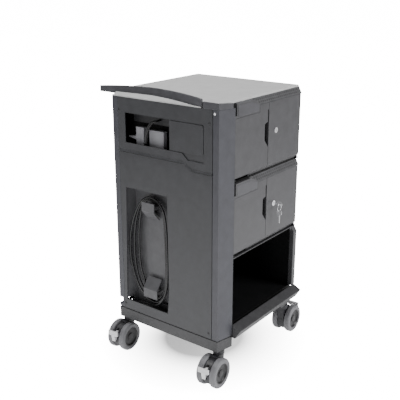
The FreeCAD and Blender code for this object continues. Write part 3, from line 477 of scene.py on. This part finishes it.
# ---- column ---------------------------------------------------------------------------------
# Service column: corner strip, rear strip, two side panels and the slide cover, all moulded in
# grained dark plastic, on a sheet steel frame.
corner_plastic = plastic("column_corner", (0.05, 0.051, 0.061), 0.38)
side_plastic = plastic("side_panels", (0.038, 0.039, 0.043), 0.4)
# black powder coat, its tone taken down to near zero as painted shade so that the insides of the
# bay and cabinets show as dark as their shade
black_steel_painted_shade = plastic("shell_steel", (0.004, 0.004, 0.0045), 0.6, spec=0.25, grain=0.00008,
                      size=900)
softened("corner_post", 0.0018, corner_plastic, "column_corner")
softened("rear_post", 0.0018, corner_plastic, "column_corner")
softened("lower_side_panel", 0.0016, side_plastic, "side_panels")
softened("upper_side_cover", 0.0012, side_plastic, "side_panels")


COVER_FACE_X, COVER_PLATE_X, COVER_BACK_X = 0.7, 3.4, 6.0
COVER_FACE = [(64, 852), (66.5, 846), (72, 843.5), (208.5, 843.5), (208.5, 946.5), (72, 946.5),
              (66.5, 944), (64, 938)]


def raised_cover(bm):
    """Plate that runs behind the window's edges, with a raised face that stands in the window."""
    block(bm, at(COVER_PLATE_X, 57, 815), at(COVER_BACK_X, 209, 953))
    ends = [[bm.verts.new(at(x, y, z)) for y, z in COVER_FACE]
            for x in (COVER_FACE_X, COVER_PLATE_X)]
    for i in range(len(COVER_FACE)):
        j = (i + 1) % len(COVER_FACE)
        bm.faces.new((ends[0][i], ends[0][j], ends[1][j], ends[1][i]))
    bm.faces.new(ends[0])
    bm.faces.new(ends[1][::-1])


cover = rounded(joined_mesh("slide_cover_moulded", raised_cover), 0.0005)
finish_with(cover, side_plastic, "side_panels", "slide_cover", "slide_cover")
painted("column_frame", black_steel_painted_shade)

# ---- cord recess ----------------------------------------------------------------------------
# Deep moulded tray with two cleats that the cord is wound on.
recess_plastic = plastic("recess_moulding", (0.09, 0.09, 0.096), 0.5)
softened("cord_recess_tray", 0.0015, recess_plastic, "recess_moulding")
softened("cord_cleats", 0.0012, recess_plastic, "recess_moulding", 3)

# ---- adapters -------------------------------------------------------------------------------
# Two power adapters stand on the shelf behind the window, with their tied leads between them.
adapter_plastic = plastic("adapter_shell", (0.27, 0.27, 0.29), 0.45)


ADAPTERS = ((254, 320, 894), (346, 382, 898))    # front, rear and top
SHELF_Z, LABEL_RIM = 814, 4
BOOT_RINGS, BOOT_TAPER, BOOT_PITCH = 5, 0.0011, 0.007
BUNDLE = [(43, 282, 930), (24, 282, 930), (16, 298, 926), (15, 316, 902), (16, 327, 872),
          (18, 331, 844), (18, 331, 817)]
STRANDS = ((-2.6, -2.8), (2.8, -2.4), (-2.2, 3.0), (3.0, 2.6))
STRAND_D, STRAND_WANDER, STRAND_STEP = 5.2, 1.5, 2.1


def adapter_shells(bm):
    for y0, y1, top in ADAPTERS:
        block(bm, at(25, y0, SHELF_Z), at(43, y1, top))
        block(bm, at(24.6, y0 + LABEL_RIM, SHELF_Z + LABEL_RIM),
              at(25.2, y1 - LABEL_RIM, top - LABEL_RIM))


def adapter_boot(bm):
    place = Matrix.Translation(at(34, 381, 856)) @ Matrix.Rotation(math.radians(-90), 4, "X")
    profile = [(0, 0), (0.0095, 0), (0.009, 0.006)]
    for i in range(BOOT_RINGS):
        taper, height = BOOT_TAPER * i, BOOT_PITCH * i
        profile += [(0.0078 - taper, 0.0085 + height), (0.0084 - taper, 0.0115 + height)]
    turned(bm, profile + [(0.003, 0.044), (0, 0.044)], place, 36, False)


shells = rounded(joined_mesh("adapter_shells", adapter_shells), 0.0025, 4)
finish_with(shells, adapter_plastic, "adapter_shell", "root", "power_adapters")
boot = rounded(joined_mesh("adapter_boot", adapter_boot), 0.0003, 1, 50)
finish_with(boot, adapter_plastic, "adapter_shell", "root")
softened("outlet_strip", 0.002, black_plastic, "black_plastic", 3)
painted("power_shelf", black_steel_painted_shade)
for i, (dx, dy) in enumerate(STRANDS):
    line = [(x + dx, y + dy + STRAND_WANDER * math.sin(STRAND_STEP * n + i), z)
            for n, (x, y, z) in enumerate(BUNDLE)]
    strand = curve_piece(f"adapter_lead_{i + 1}", line, STRAND_D)
    finish_with(strand, jacket, "cord_jacket", "root", *(["adapter_leads"] if i == 0 else []))
softened("cord_gland", 0.0005, black_plastic, "black_plastic")

# ---- open bay and cabinets ------------------------------------------------------------------
# Folded sheet steel shells, powder coated black, behind a moulded frame; their black is darkened
# further as painted shade for their insides.
front_plastic = plastic("front_panels", (0.058, 0.058, 0.062), 0.4)
for shell in ("bay_shell", "upper_cabinet", "middle_cabinet", "device_dividers"):
    painted(shell, black_steel_painted_shade)
softened("bay_frame", 0.0015, front_plastic, "front_panels")
softened("rear_panel", 0.0008, side_plastic, "side_panels")

# ---- doors ----------------------------------------------------------------------------------
# Each module has a grilled band, a name plate blank and two moulded leaves on steel pins.
vent_plastic = plastic("vent_panels", (0.062, 0.062, 0.066), 0.45)
label_plastic = plastic("blank_labels", (0.066, 0.066, 0.073), 0.38)
for leaf in ("upper_left_door", "upper_right_door", "middle_left_door", "middle_right_door"):
    softened(leaf, 0.0012, front_plastic, "front_panels", 3)
softened("door_fascias", 0.0008, front_plastic, "front_panels")
painted("vent_grilles", vent_plastic)


MODULES_Z, BAND_UP = (469, 744), 272
BAND_RIM = [(177, -1.9, -1.2), (492, -1.9, -1.2), (492, -11.6, -20.6), (218, -11.6, -20.6)]
GAUZE_FRONT, GAUZE_BACK = (0.9, 0.4), (1.6, 0.8)     # behind the plate, and down


def grille_backs(bm):
    """Fine dark gauze behind the perforated plates."""
    for module_z in MODULES_Z:
        z_top = module_z + BAND_UP
        front, back = [[bm.verts.new(at(x, y + behind, z_top + z - down)) for x, y, z in BAND_RIM]
                       for behind, down in (GAUZE_FRONT, GAUZE_BACK)]
        bm.faces.new(front)
        bm.faces.new(back[::-1])
        for i in range(len(front)):
            j = (i + 1) % len(front)
            bm.faces.new((front[i], back[i], back[j], front[j]))


gauze = plastic("vent_gauze", (0.035, 0.035, 0.037), 0.6, grain=0.0002, size=1200)
backs = joined_mesh("grille_backs", grille_backs)
finish_with(backs, gauze, "vent_panels", "root")
softened("label_blanks", 0.0004, label_plastic, "blank_labels")
softened("hinge_lugs", 0.0006, black_steel_painted_shade, "shell_steel")
painted("hinge_pins", steel)

# ---- locks and keys -------------------------------------------------------------------------
# Chromed cam locks; a key stands in the middle one, with a ring and a second key.
for metal in ("upper_lock", "middle_lock", "door_key", "spare_key"):
    softened(metal, 0.0003, steel, "bright_steel", 2, 40)
painted("key_ring", steel)


SCREW_HEAD = [(0.0035, -0.0004), (0.0046, -0.0001), (0.0046, 0.0006), (0.0038, 0.0014),
              (0.0024, 0.0018), (0.0017, 0.0018), (0.0014, 0.0003), (0.0, 0.0002)]
TURN_ABOUT = {"left": "Y", "rear": "X"}


def screw_heads(places):
    """Domed heads with a socket, each at a point and facing the left side or the rear."""
    def build(bm):
        for point, towards in places:
            turn = Matrix.Rotation(math.radians(-90), 4, TURN_ABOUT[towards])
            turned(bm, SCREW_HEAD, Matrix.Translation(at(*point)) @ turn, 32, False)
    return build


side_screws = [((0, y, z), "left") for y, z in ((39, 956), (440, 956), (39, 195), (440, 195))]
rear_screws = [((x, 473, z), "rear") for x in (94.5, 483) for z in (187, 584, 981)]
heads = joined_mesh("panel_screw_heads", screw_heads(side_screws + rear_screws))
finish_with(rounded(heads, 0.0001, 1), black_plastic, "screw_black", "root", "panel_screws")
corner_head = joined_mesh("corner_screw_head", screw_heads([((0, 16.75, 991), "left")]))
finish_with(rounded(corner_head, 0.0001, 1), steel, "bright_steel", "root")

# ---- worktop --------------------------------------------------------------------------------
# Grained top, let into the upper module, with a dark rail that bows along its left
# edge and a corner cap that carries on its line. The top is dark; its pale grey is a painted
# reflection of the light it catches at a glancing angle.
# pale grey as a painted reflection on a dark top
top_painted_reflection = plastic("worktop_laminate", (0.5, 0.5, 0.5), 0.38, grain=0.00005, size=350, drift=0.05)
rail_plastic = plastic("edge_rail", (0.06, 0.06, 0.067), 0.34)
softened("worktop", 0.002, top_painted_reflection, "worktop_laminate", 3)
softened("worktop_rail", 0.0034, rail_plastic, "edge_rail", 4, 35)
softened("corner_cap", 0.0015, rail_plastic, "edge_rail", 3)

# ---- studio ---------------------------------------------------------------------------------
# White sweep in a dim surround with soft lamps. Its glow is a painted pool of light, bright near
# the cart and falling off, and it has a painted shadow right under the cart. The floor and the
# surround show brighter than the light that they give.
FLOOR_HALF = 12
GLOW_CENTRE = (-0.8, 0.5, 0)
PAINTED_SHADOW_SCALE = (3.9, 4.1, 0)      # the painted shadow under the cart is an ellipse
SKY_GIVEN, SKY_SHOWN = 0.26, 16.0
floor_mesh = bpy.data.meshes.new("floor")
floor_bm = bmesh.new()
bmesh.ops.create_grid(floor_bm, x_segments=2, y_segments=2, size=FLOOR_HALF)
floor_bm.to_mesh(floor_mesh)
floor_bm.free()
floor = bpy.data.objects.new("floor", floor_mesh)
bpy.context.collection.objects.link(floor)
floor_paint = bpy.data.materials.new("floor_paint")
floor_paint.use_nodes = True
floor_tree = floor_paint.node_tree
floor_shader, floor_links = floor_tree.nodes["Principled BSDF"], floor_tree.links
floor_shader.inputs["Base Color"].default_value = (0.9, 0.9, 0.905, 1)
floor_shader.inputs["Roughness"].default_value = 0.9
floor_shader.inputs["Emission Color"].default_value = (1, 1, 1, 1)
floor_where = added(floor_tree, "ShaderNodeTexCoord")
spread = added(floor_tree, "ShaderNodeVectorMath")
spread.operation = "LENGTH"
# painted pool of light: for the cart, the floor glows brightest near it and falls off with distance
painted_light_pool = added(floor_tree, "ShaderNodeMapRange", From_Min=0.5, From_Max=3.2, To_Min=0.84, To_Max=0.1)
seen = added(floor_tree, "ShaderNodeLightPath")
# the cart sees the painted pool of light, and the camera sees the bright floor with its painted
# shadow
glow = added(floor_tree, "ShaderNodeMix")
glow.data_type = "FLOAT"
reach = added(floor_tree, "ShaderNodeVectorMath")
reach.operation = "MULTIPLY"
reach.inputs[1].default_value = PAINTED_SHADOW_SCALE
within = added(floor_tree, "ShaderNodeVectorMath")
within.operation = "LENGTH"
# painted shadow: the floor as the camera sees it glows far less inside the ellipse under the cart
under = added(floor_tree, "ShaderNodeMapRange", From_Min=0.62, From_Max=1.7, To_Min=0.55,
              To_Max=16.0)
centre = added(floor_tree, "ShaderNodeVectorMath")
centre.operation = "SUBTRACT"
centre.inputs[1].default_value = GLOW_CENTRE
for given, taken in ((floor_where.outputs["Object"], reach.inputs[0]),
                     (reach.outputs["Vector"], within.inputs[0]),
                     (within.outputs["Value"], under.inputs["Value"]),
                     (under.outputs["Result"], glow.inputs["B"]),
                     (floor_where.outputs["Object"], centre.inputs[0]),
                     (centre.outputs["Vector"], spread.inputs[0]),
                     (spread.outputs["Value"], painted_light_pool.inputs["Value"]),
                     (seen.outputs["Is Camera Ray"], glow.inputs["Factor"]),
                     (painted_light_pool.outputs["Result"], glow.inputs["A"]),
                     (glow.outputs["Result"], floor_shader.inputs["Emission Strength"])):
    floor_links.new(given, taken)
floor_mesh.materials.append(floor_paint)

world = bpy.data.worlds.new("studio")
bpy.context.scene.world = world
world.use_nodes = True
sky = world.node_tree.nodes["Background"]
sky.inputs["Color"].default_value = (1, 1, 1, 1)
sky_seen = added(world.node_tree, "ShaderNodeLightPath")
sky_level = added(world.node_tree, "ShaderNodeMix", A=SKY_GIVEN, B=SKY_SHOWN)
sky_level.data_type = "FLOAT"
world.node_tree.links.new(sky_seen.outputs["Is Camera Ray"], sky_level.inputs["Factor"])
world.node_tree.links.new(sky_level.outputs["Result"], sky.inputs["Strength"])


def lamp(name, place, target, size, power):
    """A soft square lamp that looks at a point."""
    light = bpy.data.lights.new(name, "AREA")
    light.size, light.energy = size, power
    holder = bpy.data.objects.new(name, light)
    bpy.context.collection.objects.link(holder)
    holder.location = place
    holder.rotation_euler = (Vector(target) - Vector(place)).to_track_quat("-Z", "Y").to_euler()


lamp("key", (1.2, -3.2, 2.2), (0, 0, 0.6), size=1.6, power=130)
lamp("fill", (-3.0, -0.6, 0.35), (0, 0, 0.3), size=1.4, power=22)
lamp("top", (-0.5, 0.8, 3.4), (0, 0, 1.0), size=1.5, power=85)
